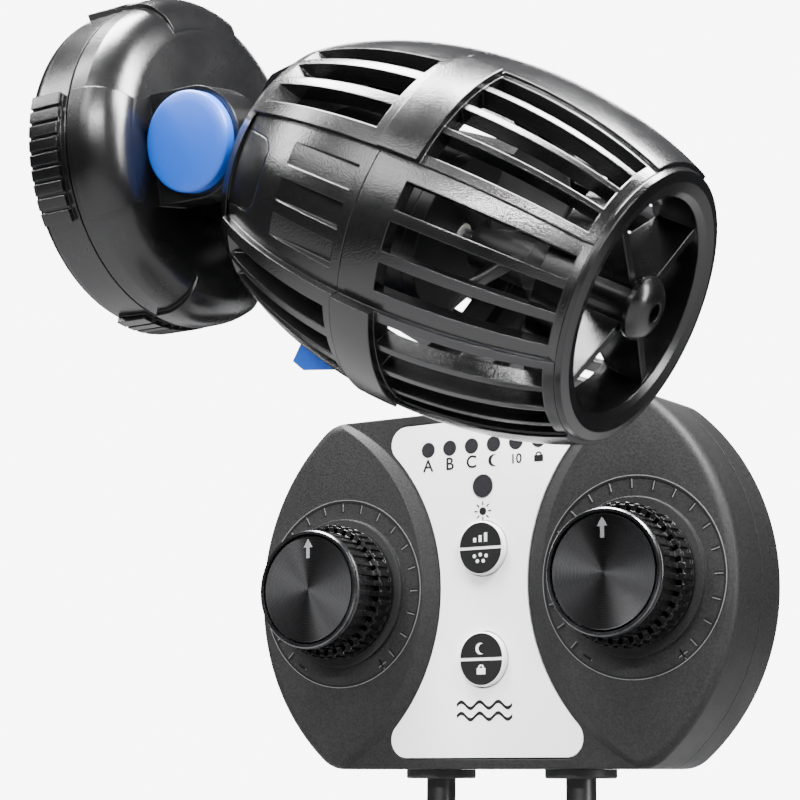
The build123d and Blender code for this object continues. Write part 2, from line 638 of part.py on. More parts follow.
with BuildPart() as faceplate:
    with BuildSketch(Plane.XY.offset(-PLATE_RECESS + 0.05)):
        plate_outline(0.35)
        with Locations(*[(x, LED_Y) for x in LED_X]):
            Circle(1.9, mode=Mode.SUBTRACT)
        with Locations((0, SENSOR_Y)):
            Circle(2.8, mode=Mode.SUBTRACT)
        with Locations(*[(0, y) for y in BUTTON_Y]):
            Circle(BUTTON_RADIUS + 0.25, mode=Mode.SUBTRACT)
    extrude(amount=0.9)
save(faceplate, "faceplate", PANEL)

BOARD_Z = -10.4
PLUNGER_TOP = -5.6
with BuildPart() as circuit_board:
    with BuildSketch(Plane.XY.offset(BOARD_Z)):
        Rectangle(88, 56)
        with Locations(*SCREWS):
            Circle(4.2, mode=Mode.SUBTRACT)
    extrude(amount=1.6)
save(circuit_board, "circuit_board", PANEL)

with BuildPart() as button_switches:
    for y in BUTTON_Y:
        with BuildSketch(Plane.XY.offset(BOARD_Z + 1.65)):
            with Locations((0, y)):
                Rectangle(6, 6)
        extrude(amount=2.6)
        bar(BOARD_Z + 4.2, PLUNGER_TOP - BOARD_Z - 4.2, 0, y, 1.6)
save(button_switches, "button_switches", PANEL)

for name, y in zip(("mode_button", "night_button"), BUTTON_Y):
    with BuildPart() as button:
        bar(-5.0, 5.0, 0, y, BUTTON_RADIUS)
        fillet(button.faces().sort_by(Axis.Z)[-1].edges(), 0.5)
        bar(-5.0, 0.5, 0, y, BUTTON_RADIUS + 1.1)
    save(button, name, PANEL)

with BuildPart() as led_lenses:
    for x in LED_X:
        bar(BOARD_Z + 1.65, -PLATE_RECESS + 1.0 - BOARD_Z - 1.65, x, LED_Y, 1.85)
save(led_lenses, "led_lenses", PANEL)

with BuildPart() as light_sensor_lens:
    bar(BOARD_Z + 1.65, -PLATE_RECESS + 1.1 - BOARD_Z - 1.65, 0, SENSOR_Y, 2.7)
save(light_sensor_lens, "light_sensor_lens", PANEL)

FLUTES = 36
for name, x in (("left", -KNOB_X), ("right", KNOB_X)):
    with BuildPart() as potentiometer:
        with BuildSketch(Plane.XY.offset(BOARD_Z + 1.65)):
            with Locations((x, 0)):
                RectangleRounded(13, 13, 1.5)
        extrude(amount=3.1)
        bar(BOARD_Z + 4.7, 4.0, x, 0, 3.4)
        bar(BOARD_Z + 8.6, 11.0, x, 0, 3.0)
    save(potentiometer, f"{name}_potentiometer", PANEL)

    with BuildPart() as knob:
        bar(1.5, KNOB_FRONT - 2.3, x, 0, KNOB_RADIUS)
        fillet(knob.faces().sort_by(Axis.Z)[-1].edges(), 0.8)
        bar(1.5, 5.0, x, 0, KNOB_RADIUS + 1.9)
        with BuildSketch(Plane.XY.offset(2.6)):
            with Locations((x, 0)):
                with PolarLocations(KNOB_RADIUS + 0.35, FLUTES):
                    Rectangle(1.4, 1.15)
        extrude(amount=KNOB_FRONT - 4.4, mode=Mode.SUBTRACT)
        with BuildSketch(Plane.XY.offset(2.6)):
            with Locations((x, 0)):
                with PolarLocations(KNOB_RADIUS + 2.0, FLUTES + 6):
                    Rectangle(1.2, 1.2)
        extrude(amount=6, mode=Mode.SUBTRACT)
        bar(0.5, 10.0, x, 0, 3.05, Mode.SUBTRACT)
        bar(KNOB_FRONT - 1.4, 3, x, 0, KNOB_RADIUS - 1.1, Mode.SUBTRACT)
    save(knob, f"{name}_knob", PANEL)

    with BuildPart() as knob_face:
        bar(KNOB_FRONT - 1.38, 1.2, x, 0, KNOB_RADIUS - 1.2)
    save(knob_face, f"{name}_knob_face", PANEL)

with BuildPart() as case_screws:
    for x, y in SCREWS:
        bar(-PANEL_DEPTH + 0.4, 1.7, x, y, 2.7)
        bar(-PANEL_DEPTH + 2.0, 15.6, x, y, 1.28)
save(case_screws, "case_screws", PANEL)

GLAND_DEPTH = 2.1
for name, x in (("output", -GLAND_X), ("power", GLAND_X)):
    with BuildPart() as gland:
        with BuildSketch(Plane(origin=(x, -36.5, GLAND_Z), x_dir=(1, 0, 0), z_dir=(0, -1, 0))):
            Circle(5.05)
        extrude(amount=PANEL_HALF_HEIGHT - 36.4)
        flange_seat = (x, -PANEL_HALF_HEIGHT - 0.02, GLAND_Z)
        with BuildSketch(Plane(origin=flange_seat, x_dir=(1, 0, 0), z_dir=(0, -1, 0))):
            Circle(8.3)
        extrude(amount=GLAND_DEPTH)
        fillet(gland.faces().sort_by(Axis.Y)[0].edges(), 0.5)
    save(gland, f"{name}_gland", PANEL)

# ------------------------------------------------------------------ leads
FLOOR_Z = -200.0
LEAD_RADIUS = LEAD_DIAMETER / 2
GLAND_ROW_Y = PANEL_PLACE[1] - GLAND_Z
EXIT_Z = PANEL_PLACE[2] - PANEL_HALF_HEIGHT - 0.02 - GLAND_DEPTH
LAID_Z = FLOOR_Z + LEAD_RADIUS
OUTPUT_X, POWER_X = PANEL_PLACE[0] - GLAND_X, PANEL_PLACE[0] + GLAND_X
SOCKET_RADIUS, CONNECTOR_RADIUS = 6.2, 7.6
BORE_DEPTH = 9.0
SOCKET_Z, CONNECTOR_Z = FLOOR_Z + SOCKET_RADIUS, FLOOR_Z + CONNECTOR_RADIUS
OUTPUT_ROUTE = [
    (OUTPUT_X, GLAND_ROW_Y, EXIT_Z),
    (OUTPUT_X, GLAND_ROW_Y, -160.0),
    (9.0, 72.0, -188.0),
    (4.0, 38.0, LAID_Z),
    (2.0, 10.0, LAID_Z),
    (10.0, -14.0, LAID_Z),
    (30.0, -29.0, CONNECTOR_Z),
    (52.0, -34.0, CONNECTOR_Z),
]
POWER_ROUTE = [
    (POWER_X, GLAND_ROW_Y, EXIT_Z),
    (POWER_X, GLAND_ROW_Y, -160.0),
    (51.0, 72.0, -188.0),
    (56.0, 38.0, LAID_Z),
    (62.0, 4.0, SOCKET_Z),
    (90.0, -15.5, SOCKET_Z),
]


def lead_path(points):
    """Straight runs joined by tangent arcs as large as the runs allow."""
    radii = []
    for before, here, after in zip(points, points[1:], points[2:]):
        into, out = Vector(*here) - Vector(*before), Vector(*after) - Vector(*here)
        turn = radians(into.get_angle(out))
        radii.append(0.45 * min(into.length, out.length) / tan(turn / 2))
    print("lead radii", [round(r, 1) for r in radii])
    return FilletPolyline(*points, radius=radii)


for name, route in (("output_lead", OUTPUT_ROUTE), ("power_lead", POWER_ROUTE)):
    with BuildPart() as lead:
        with BuildLine() as run:
            lead_path(route)
        length = run.wires()[0].length
        with BuildSketch(Plane(origin=route[0], z_dir=(0, 0, -1))):
            Circle(LEAD_RADIUS)
        sweep(path=run.wires()[0])
    print(name, "length", round(length, 1), "volume share",
          round(lead.part.volume / (length * pi * LEAD_RADIUS**2), 4))
    save(lead, name)


def end_place(route):
    """A plane at a lead's far end, looking along the lead."""
    return Plane(origin=route[-1], z_dir=Vector(*route[-1]) - Vector(*route[-2]))


for name, route, sections, bore in (
    ("power_socket", POWER_ROUTE, ((0.0, 7.0, 3.9), (7.0, 26.0, 5.6), (33.0, 1.6, SOCKET_RADIUS)), 2.9),
    ("pump_connector", OUTPUT_ROUTE, ((0.0, 9.0, 4.2), (9.0, 12.0, 6.2), (21.0, 14.0, CONNECTOR_RADIUS)), 5.4),
):
    place = end_place(route)
    with BuildPart() as connector:
        for start, length, radius in sections:
            with BuildSketch(place.offset(start)):
                Circle(radius)
            extrude(amount=length)
        with BuildSketch(place.offset(start + length - BORE_DEPTH)):
            Circle(bore)
        extrude(amount=BORE_DEPTH, mode=Mode.SUBTRACT)
    print(name, "mouth", place.offset(start + length - BORE_DEPTH / 2).origin, place.z_dir)
    save(connector, name)
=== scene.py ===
"""Looks of the wave maker pump: a magnet mount, a tilting barrel pump and its wired controller.

The row's frame is in metres. Each Blender piece is drawn in millimetres in a local frame, which is
worked out from the joints or from the end of a lead.
"""
import json
from math import cos, pi, radians, sin

import bmesh
import bpy
from mathutils import Matrix, Vector


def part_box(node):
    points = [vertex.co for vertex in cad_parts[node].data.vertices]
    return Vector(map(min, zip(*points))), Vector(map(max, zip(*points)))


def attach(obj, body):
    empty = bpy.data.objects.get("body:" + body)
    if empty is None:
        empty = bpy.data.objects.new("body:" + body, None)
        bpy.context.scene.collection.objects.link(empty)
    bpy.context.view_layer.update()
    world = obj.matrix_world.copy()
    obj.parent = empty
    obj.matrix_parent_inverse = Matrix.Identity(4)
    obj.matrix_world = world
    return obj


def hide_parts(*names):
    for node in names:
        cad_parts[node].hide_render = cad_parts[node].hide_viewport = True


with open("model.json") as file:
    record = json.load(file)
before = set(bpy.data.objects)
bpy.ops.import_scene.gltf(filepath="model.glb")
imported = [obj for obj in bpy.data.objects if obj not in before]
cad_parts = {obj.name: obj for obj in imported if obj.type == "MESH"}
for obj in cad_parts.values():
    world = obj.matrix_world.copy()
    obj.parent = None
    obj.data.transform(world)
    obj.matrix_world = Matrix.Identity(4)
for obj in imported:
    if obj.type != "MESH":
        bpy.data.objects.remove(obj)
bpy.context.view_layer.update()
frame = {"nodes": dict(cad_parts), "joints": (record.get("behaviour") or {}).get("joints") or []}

MM = 0.001
JOINTS = {joint["name"]: joint for joint in frame["joints"]}


def axes_matrix(x, y, z, origin):
    """A local frame as a matrix, from its three axes and its origin."""
    made = Matrix((x, y, z)).transposed().to_4x4()
    made.translation = origin
    return made


PIVOT = Vector(JOINTS["pump_tilt"]["pos_m"])
SIDEWAYS = Vector(JOINTS["pump_tilt"]["axis"])
INTO_TANK = Vector((1, 0, 0))
DIALS = {side: Vector(JOINTS[f"{side}_dial_turn"]["pos_m"]) for side in ("left", "right")}
PANEL_CENTRE = (DIALS["left"] + DIALS["right"]) / 2
PANEL = axes_matrix(Vector((1, 0, 0)), Vector((0, 0, 1)), Vector((0, -1, 0)), PANEL_CENTRE)

# ---------------------------------------------------------------- camera
CAMERA_PLACE = Vector((0.2775, -0.3318, -0.1300))
CAMERA_BACK = Vector((0.5416, -0.8214, -0.1788))
camera_data = bpy.data.cameras.new("camera")
camera_data.lens = 92
camera_data.sensor_width = 36
camera_data.clip_start = 0.01
camera = bpy.data.objects.new("camera", camera_data)
camera.location = CAMERA_PLACE
camera.rotation_mode = "QUATERNION"
camera.rotation_quaternion = (-CAMERA_BACK).to_track_quat("-Z", "Y")
bpy.context.scene.collection.objects.link(camera)
bpy.context.scene.camera = camera


# ---------------------------------------------------------------- materials
BUMP_EDGE_SAMPLES = 4
MIX_FACTOR, MIX_FIRST_COLOUR, MIX_SECOND_COLOUR, MIX_COLOUR_OUT = 0, 6, 7, 2


class Shader:
    """A node material with short ways to add and link nodes."""

    def __init__(self, name, colour, roughness, metallic=0.0, **sockets):
        self.material = bpy.data.materials.new(name)
        self.material.use_nodes = True
        self.tree = self.material.node_tree
        self.surface = self.tree.nodes["Principled BSDF"]
        self.put(self.surface, "Base Color", (*colour, 1))
        self.put(self.surface, "Roughness", roughness)
        self.put(self.surface, "Metallic", metallic)
        for socket, value in sockets.items():
            self.put(self.surface, socket.replace("_", " "), value)
        self.place = self.tree.nodes.new("ShaderNodeTexCoord").outputs["Object"]

    def put(self, node, socket, value):
        """Sets a socket's value, or links another node's output to it."""
        if isinstance(value, bpy.types.NodeSocket):
            self.tree.links.new(value, node.inputs[socket])
        else:
            node.inputs[socket].default_value = value

    def node(self, kind, **inputs):
        """A new node with its inputs set or linked; spaces are written as underscores."""
        made = self.tree.nodes.new(kind)
        for socket, value in inputs.items():
            self.put(made, socket.replace("_", " "), value)
        return made

    def noise(self, scale, detail=3.0, roughness=0.55):
        """A noise value over the object; scale is features per metre."""
        made = self.node(
            "ShaderNodeTexNoise", Vector=self.place, Scale=scale, Detail=detail, Roughness=roughness
        )
        return made.outputs["Fac"]

    def spread(self, value, low, high, start=0.3, end=0.7):
        """Maps a value from start..end to low..high."""
        made = self.tree.nodes.new("ShaderNodeMapRange")
        limits = {"From Min": start, "From Max": end, "To Min": low, "To Max": high}
        for socket, setting in {"Value": value, **limits}.items():
            self.put(made, socket, setting)
        return made.outputs["Result"]

    def mixed(self, factor, first, second):
        """Two colours mixed by a factor."""
        made = self.tree.nodes.new("ShaderNodeMix")
        made.data_type = "RGBA"
        self.put(made, MIX_FACTOR, factor)
        self.put(made, MIX_FIRST_COLOUR, (*first, 1))
        self.put(made, MIX_SECOND_COLOUR, (*second, 1))
        return made.outputs[MIX_COLOUR_OUT]

    def relief(self, height, depth, edge=0.0):
        """Bumps the surface by a height value, over edges rounded by a small radius."""
        bump = self.node("ShaderNodeBump", Height=height, Strength=1.0, Distance=depth)
        if edge:
            rounded = self.node("ShaderNodeBevel", Radius=edge)
            rounded.samples = BUMP_EDGE_SAMPLES
            self.put(bump, "Normal", rounded.outputs["Normal"])
        self.put(self.surface, "Normal", bump.outputs["Normal"])


def moulded(name, colour, light, roughness, grain=0.035, scale=2400, edge=0.0004, **sockets):
    """Moulded plastic: spark-eroded grain, faint colour variation and softened edges."""
    made = Shader(name, colour, roughness, **sockets)
    fine, broad = made.noise(scale, 2.0, 0.6), made.noise(60, 4.0)
    made.put(made.surface, "Roughness", made.spread(broad, roughness - 0.05, roughness + 0.06))
    made.put(made.surface, "Base Color", made.mixed(made.spread(fine, 0.0, 1.0), colour, light))
    made.relief(fine, grain * MM, edge)
    return made.material


def smooth(name, colour, roughness, metallic=0.0, edge=0.0003, variation=0.04, **sockets):
    """A smooth finish with faint smears in its gloss."""
    made = Shader(name, colour, roughness, metallic, **sockets)
    gloss = made.spread(made.noise(140, 3.0), roughness - variation, roughness + variation)
    made.put(made.surface, "Roughness", gloss)
    made.relief(made.noise(700, 2.0), 0.004 * MM, edge)
    return made.material


def spun(name, colour, roughness):
    """Spun metal: fine rings about the piece's own Z, with a fan of light across them."""
    made = Shader(name, colour, roughness, metallic=1.0, Anisotropic=0.85)
    tangent = made.tree.nodes.new("ShaderNodeTangent")
    tangent.direction_type = "RADIAL"
    tangent.axis = "Z"
    made.put(made.surface, "Tangent", tangent.outputs["Tangent"])
    rings = made.node("ShaderNodeTexWave", Vector=made.place, Scale=900, Distortion=0.0)
    rings.wave_type = "RINGS"
    rings.rings_direction = "Z"
    height = rings.outputs["Fac"]
    made.put(made.surface, "Roughness", made.spread(height, roughness - 0.05, roughness + 0.06, 0, 1))
    bump = made.node("ShaderNodeBump", Height=height, Strength=0.5, Distance=0.01 * MM)
    made.put(made.surface, "Normal", bump.outputs["Normal"])
    return made.material


def wound(name, colour):
    """Enamelled wire wound along the barrel, with painted shade: dark brown in the grooves between the
    turns.
    """
    made = Shader(name, colour, 0.3, metallic=1.0)
    wires = made.node("ShaderNodeTexWave", Vector=made.place, Scale=420, Distortion=0.4)
    # Painted shade: the low parts of the wave, the grooves between the turns, are coloured dark brown.
    made.put(made.surface, "Base Color", made.mixed(wires.outputs["Fac"], (0.25, 0.07, 0.02), colour))
    made.relief(wires.outputs["Fac"], 0.1 * MM)
    return made.material


BLACK = moulded(
    "black_plastic", (0.0020, 0.0020, 0.0022), (0.0060, 0.0060, 0.0062), 0.2, Specular_IOR_Level=0.6
)
MOUNT_BLACK = moulded(
    "mount_black", (0.0018, 0.0018, 0.0020), (0.0050, 0.0050, 0.0052), 0.25, grain=0.018, scale=3200
)
SMOOTH_BLACK = moulded(
    "smooth_black", (0.0018, 0.0018, 0.0020), (0.0035, 0.0035, 0.0036), 0.22, grain=0.008, scale=3000
)
DEEP_BLACK = moulded("deep_black", (0.0015, 0.0015, 0.0015), (0.003, 0.003, 0.003), 0.45, grain=0.02)
CHARCOAL = moulded(
    "charcoal_plastic", (0.006, 0.006, 0.0061), (0.016, 0.016, 0.0162), 0.5, grain=0.05, scale=1900,
    Specular_IOR_Level=0.22,
)
BLUE = smooth("blue_plastic", (0.0, 0.075, 0.46), 0.45, Coat_Weight=0.15, Coat_Roughness=0.35)
PLATE = smooth("plate", (0.90, 0.90, 0.91), 0.36, edge=0.0002)
WHITE = smooth("button_white", (0.8, 0.8, 0.81), 0.3)
INK = smooth("ink", (0.004, 0.004, 0.0042), 0.5, edge=0.0, Specular_IOR_Level=0.2)
PRINT_GREY = smooth("print_grey", (0.17, 0.17, 0.175), 0.35, edge=0.0)
# Painted highlight: the grey of the lit edges laid beside the dial marks.
PAINTED_EDGE_HIGHLIGHT = smooth("painted_edge_highlight", (0.11, 0.11, 0.112), 0.3, edge=0.0)
RUBBER = moulded("rubber", (0.003, 0.003, 0.003), (0.006, 0.006, 0.006), 0.5, grain=0.02)
JACKET = moulded(
    "lead_jacket", (0.002, 0.002, 0.0022), (0.004, 0.004, 0.0042), 0.36, grain=0.012, scale=1500, edge=0
)
NICKEL = smooth("nickel", (0.6, 0.58, 0.54), 0.28, metallic=1.0)
STEEL = smooth("steel", (0.56, 0.57, 0.58), 0.25, metallic=1.0)
CERAMIC = smooth("ceramic", (0.82, 0.80, 0.76), 0.25)
COPPER = wound("copper", (0.75, 0.3, 0.12))
PROPELLER = moulded(
    "propeller_plastic", (0.008, 0.008, 0.0085), (0.014, 0.014, 0.0145), 0.36, grain=0.01
)
BOARD = smooth("board", (0.01, 0.10, 0.04), 0.35)
LENS = smooth("lens", (0.018, 0.017, 0.019), 0.16, edge=0.0, Coat_Weight=0.6, Coat_Roughness=0.05)
KNOB_BLACK = smooth("knob_plastic", (0.0025, 0.0025, 0.0026), 0.27)
SPUN_BLACK = spun("spun_black", (0.075, 0.075, 0.077), 0.31)
EDGE_METAL = smooth("edge_metal", (0.11, 0.11, 0.115), 0.26, metallic=1.0, edge=0.0)

NODE_LOOKS = (
    (MOUNT_BLACK, "outer_holder inner_holder"),
    (BLACK, "rear_shell front_cage"),
    (SMOOTH_BLACK, "rear_cap nozzle hub_cap pump_lead_gland"),
    (DEEP_BLACK, "motor_housing motor_end_cap button_switches left_potentiometer right_potentiometer"),
    (CHARCOAL, "front_shell back_shell"),
    (BLUE, "pivot_cap_front pivot_cap_rear release_latch"),
    (PLATE, "faceplate"),
    (WHITE, "mode_button night_button"),
    (RUBBER, "outer_pad inner_pad housing_seal friction_washers output_gland power_gland"),
    (JACKET, "output_lead power_lead power_socket pump_connector"),
    (NICKEL, "outer_magnet inner_magnet rotor_magnet latch_spring"),
    (STEEL, "pivot_pin shaft case_screws stator_core"),
    (CERAMIC, "rear_bearing middle_bearing front_bearing"),
    (COPPER, "stator_windings"),
    (PROPELLER, "propeller"),
    (BOARD, "circuit_board"),
    (LENS, "led_lenses light_sensor_lens"),
    (KNOB_BLACK, "left_knob right_knob"),
    (SPUN_BLACK, "left_knob_face right_knob_face"),
)
for look, names in NODE_LOOKS:
    for node_name in names.split():
        mesh = frame["nodes"][node_name].data
        mesh.materials.clear()
        mesh.materials.append(look)


# ---------------------------------------------------------------- mesh helpers, in millimetres
WELD = 1e-5


def piece(name, bm, place, body, look, smooth_angle=35):
    """A finished mesh in its local frame: it gets its looks and rides on a body."""
    mesh = bpy.data.meshes.new(name)
    bmesh.ops.recalc_face_normals(bm, faces=bm.faces)
    bm.transform(Matrix.Scale(MM, 4))
    bm.to_mesh(mesh)
    bm.free()
    mesh.materials.append(look)
    made = bpy.data.objects.new(name, mesh)
    bpy.context.scene.collection.objects.link(made)
    made.matrix_world = place
    for face in mesh.polygons:
        face.use_smooth = True
    mesh.set_sharp_from_angle(angle=radians(smooth_angle))
    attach(made, body)
    return made


def turned(bm, profile, centre=(0, 0), steps=96):
    """A closed (radius, height) profile turned about Z."""
    rings = []
    for i in range(steps):
        a = 2 * pi * i / steps
        rings.append([
            bm.verts.new((centre[0] + r * cos(a), centre[1] + r * sin(a), z)) for r, z in profile
        ])
    for i in range(steps):
        here, there = rings[i], rings[(i + 1) % steps]
        for j in range(len(profile)):
            k = (j + 1) % len(profile)
            bm.faces.new((here[j], there[j], there[k], here[k]))


def slab(bm, outline, low, high):
    """A flat outline of (x, y) points raised from low to high."""
    bottom = [bm.verts.new((x, y, low)) for x, y in outline]
    top = [bm.verts.new((x, y, high)) for x, y in outline]
    bm.faces.new(top)
    bm.faces.new(bottom[::-1])
    for i in range(len(outline)):
        j = (i + 1) % len(outline)
        bm.faces.new((bottom[i], bottom[j], top[j], top[i]))


def arc(centre, radius, start, end, steps):
    """Points of an arc, angles in degrees from +X."""
    angles = [radians(start + (end - start) * i / steps) for i in range(steps + 1)]
    return [(centre[0] + radius * cos(a), centre[1] + radius * sin(a)) for a in angles]


def turned_by(points, angle, centre=(0, 0)):
    """Flat points turned about a centre by degrees."""
    c, s = cos(radians(angle)), sin(radians(angle))
    return [(centre[0] + x * c - y * s, centre[1] + x * s + y * c) for x, y in points]


def rectangle(x0, x1, y0, y1):
    """The corners of a rectangle."""
    return [(x0, y0), (x1, y0), (x1, y1), (x0, y1)]


# ---------------------------------------------------------------- cords
LEAD_DIAMETER = 0.007
CONNECTOR_RADIUS, SOCKET_RADIUS = 7.6, 6.2
EXITS = {name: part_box(f"{name}_gland") for name in ("output", "power")}
EXIT_Z = EXITS["output"][0].z
GLAND_Y = (EXITS["output"][0].y + EXITS["output"][1].y) / 2
FLOOR_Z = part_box("pump_connector")[0].z
LAID_Z = FLOOR_Z + LEAD_DIAMETER / 2
FALL_END_Z, BEND_Z = -0.160, -0.188
CONNECTOR_Z = FLOOR_Z + CONNECTOR_RADIUS * MM
SOCKET_Z = FLOOR_Z + SOCKET_RADIUS * MM
OUTPUT_X, POWER_X = ((low.x + high.x) / 2 for low, high in EXITS.values())
OUTPUT_ROUTE = [
    (OUTPUT_X, GLAND_Y, EXIT_Z),
    (OUTPUT_X, GLAND_Y, FALL_END_Z),
    (0.009, 0.072, BEND_Z),
    (0.004, 0.038, LAID_Z),
    (0.002, 0.010, LAID_Z),
    (0.010, -0.014, LAID_Z),
    (0.030, -0.029, CONNECTOR_Z),
    (0.052, -0.034, CONNECTOR_Z),
]
POWER_ROUTE = [
    (POWER_X, GLAND_Y, EXIT_Z),
    (POWER_X, GLAND_Y, FALL_END_Z),
    (0.051, 0.072, BEND_Z),
    (0.056, 0.038, LAID_Z),
    (0.062, 0.004, SOCKET_Z),
    (0.090, -0.0155, SOCKET_Z),
]


def lead(name, route, node):
    """A round lead on one smooth curve through its route."""
    data = bpy.data.curves.new(name, "CURVE")
    data.dimensions = "3D"
    data.bevel_depth = LEAD_DIAMETER / 2
    data.bevel_resolution = 6
    data.resolution_u = 16
    data.use_fill_caps = True
    line = data.splines.new("NURBS")
    line.points.add(len(route) - 1)
    for point, place in zip(line.points, route):
        point.co = (*place, 1)
    line.order_u = 3
    line.use_endpoint_u = True
    data.materials.append(JACKET)
    made = bpy.data.objects.new(name, data)
    bpy.context.scene.collection.objects.link(made)
    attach(made, "inner_mount")
    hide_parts(node)
    return made


def end_frame(route):
    """A frame at a lead's end whose Z runs on along the lead."""
    forward = (Vector(route[-1]) - Vector(route[-2])).normalized()
    side = forward.cross(Vector((0, 0, 1))).normalized()
    return axes_matrix(side, forward.cross(side), forward, Vector(route[-1]))


FLUTE_WAVE = (0.0, 0.32, 0.32, 0.0)
FLUTE_ROOT, GRIP_BEVEL, GRIP_INNER_SHARE = 0.35, 0.5, 0.93


def connector_ring(name, route, start, end, radius, flutes):
    """A fluted grip ring around a connector."""
    bm = bmesh.new()
    steps = flutes * len(FLUTE_WAVE)
    outer = []
    for i in range(steps):
        reach, angle = radius - FLUTE_ROOT + FLUTE_WAVE[i % len(FLUTE_WAVE)], 2 * pi * i / steps
        outer.append((reach * cos(angle), reach * sin(angle)))
    inner = [(x * GRIP_INNER_SHARE, y * GRIP_INNER_SHARE) for x, y in outer]
    loops = []
    for points, z in (
        (inner, start), (outer, start + GRIP_BEVEL), (outer, end - GRIP_BEVEL), (inner, end)
    ):
        loops.append([bm.verts.new((x, y, z)) for x, y in points])
    for here, there in zip(loops, loops[1:] + loops[:1]):
        for i in range(steps):
            j = (i + 1) % steps
            bm.faces.new((here[i], here[j], there[j], there[i]))
    return piece(name, bm, end_frame(route), "inner_mount", RUBBER, 50)


PIN_TAPER, PIN_STEPS = 0.4, 16


def pins(name, route, places, radius, start, end):
    """Metal contact pins inside a connector's mouth."""
    bm = bmesh.new()
    profile = [(0, start), (radius, start), (radius, end - PIN_TAPER), (radius * 0.6, end), (0, end)]
    for place in places:
        turned(bm, profile, place, PIN_STEPS)
    bmesh.ops.remove_doubles(bm, verts=bm.verts, dist=WELD)
    return piece(name, bm, end_frame(route), "inner_mount", NICKEL)


GRIP_START, GRIP_END, GRIP_FLUTES = 22.0, 34.0, 22
CONTACTS = [(2.1, 2.1), (-2.1, 2.1), (2.1, -2.1), (-2.1, -2.1)]
CONTACT_RADIUS, CONTACT_START = 0.55, 26.2
SOCKET_PIN_RADIUS, SOCKET_PIN_START = 1.0, 25.8
PIN_END = 33.0
connector_grip = connector_ring(
    "connector_grip", OUTPUT_ROUTE, GRIP_START, GRIP_END, CONNECTOR_RADIUS, GRIP_FLUTES
)
connector_pins = pins(
    "connector_pins", OUTPUT_ROUTE, CONTACTS, CONTACT_RADIUS, CONTACT_START, PIN_END
)
socket_pin = pins("socket_pin", POWER_ROUTE, [(0, 0)], SOCKET_PIN_RADIUS, SOCKET_PIN_START, PIN_END)
output_cord = lead("output_cord", OUTPUT_ROUTE, "output_lead")
power_cord = lead("power_cord", POWER_ROUTE, "power_lead")

# ---------------------------------------------------------------- mount
DISC_RADIUS, DISC_INNER, DISC_OUTER = 10.4, 20.7, 24.4
DISC_RIM_DROP, DISC_DOME_RISE = 1.5, 0.95


def pivot_dome(name, node, sign):
    """The blue pivot cap: a low dome with a rounded rim and a short side wall."""
    bm = bmesh.new()
    rim = DISC_OUTER - DISC_RIM_DROP
    profile = [
        (0.0, DISC_INNER),
        (DISC_RADIUS, DISC_INNER),
        (DISC_RADIUS, rim),
        (DISC_RADIUS - 0.15, rim + 0.3),
        (DISC_RADIUS - 0.5, rim + 0.5),
    ]
    for share in (0.9, 0.75, 0.6, 0.45, 0.3, 0.15, 0.0):
        profile.append((DISC_RADIUS * share, DISC_OUTER - DISC_DOME_RISE * share * share))
    turned(bm, profile)
    bmesh.ops.remove_doubles(bm, verts=bm.verts, dist=WELD)
    place = axes_matrix(INTO_TANK, SIDEWAYS.cross(INTO_TANK) * sign, SIDEWAYS * sign, PIVOT)
    made = piece(name, bm, place, "inner_mount", BLUE, 60)
    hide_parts(node)


pivot_dome("pivot_dome_front", "pivot_cap_front", -1)
pivot_dome("pivot_dome_rear", "pivot_cap_rear", 1)

# ---------------------------------------------------------------- controller: knobs and dials
KNOB_FRONT = 14.6
FACE_RECESS, FACE_RISE, FACE_THICKNESS = 1.38, 0.9, 0.6
FACE_RADIUS, RIM_RADIUS = 12.9, 14.1
RING_PITCH, RING_DEPTH = 0.52, 0.045
TICK_INNER, TICK_OUTER, DIAL_RADIUS = 20.0, 22.0, 22.5
TICK_STEP, TICKS_EACH_WAY = 15, 9
SIGN_ANGLE, SIGN_HALF_LENGTH = 146, 1.2
PRINT_HEIGHT, PRINT_SINK = 0.12, 0.02
POINTER_STEM = [(-0.45, 10.0), (-0.45, 7.4), (0.45, 7.4), (0.45, 10.0)]
POINTER_HEAD = [(1.25, 10.0), (0, 12.0), (-1.25, 10.0)]


def knob_cap(side):
    """The spun face, with concentric grooves."""
    bm = bmesh.new()
    top = KNOB_FRONT - FACE_RECESS + FACE_RISE
    profile = [(0.0, top - FACE_THICKNESS), (FACE_RADIUS, top - FACE_THICKNESS)]
    grooves = int(FACE_RADIUS / RING_PITCH)
    for i in range(grooves, 0, -1):
        radius = i * RING_PITCH
        profile.append((radius + RING_PITCH * 0.25, top))
        profile.append((radius - RING_PITCH * 0.25, top - RING_DEPTH))
    profile.append((0.0, top))
    turned(bm, profile)
    bmesh.ops.remove_doubles(bm, verts=bm.verts, dist=WELD)
    place = PANEL @ Matrix.Translation((DIALS[side].x - PANEL_CENTRE.x, 0, 0))
    made = piece(f"{side}_knob_cap", bm, place, f"{side}_dial", SPUN_BLACK, 60)
    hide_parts(f"{side}_knob_face")
    return place, top


def knob_trim(side, place, top):
    """The bright rim around the face and the pointer arrow on it."""
    bm = bmesh.new()
    profile = [
        (FACE_RADIUS + 0.15, top - 0.4),
        (RIM_RADIUS, top - 0.4),
        (RIM_RADIUS, top + 0.05),
        (RIM_RADIUS - 0.3, top + 0.32),
        (FACE_RADIUS + 0.3, top + 0.32),
    ]
    turned(bm, profile)
    piece(f"{side}_knob_rim", bm, place, f"{side}_dial", EDGE_METAL)
    bm = bmesh.new()
    slab(bm, POINTER_STEM + POINTER_HEAD, top - PRINT_SINK, top + PRINT_HEIGHT)
    piece(f"{side}_pointer", bm, place, f"{side}_dial", PRINT_GREY)


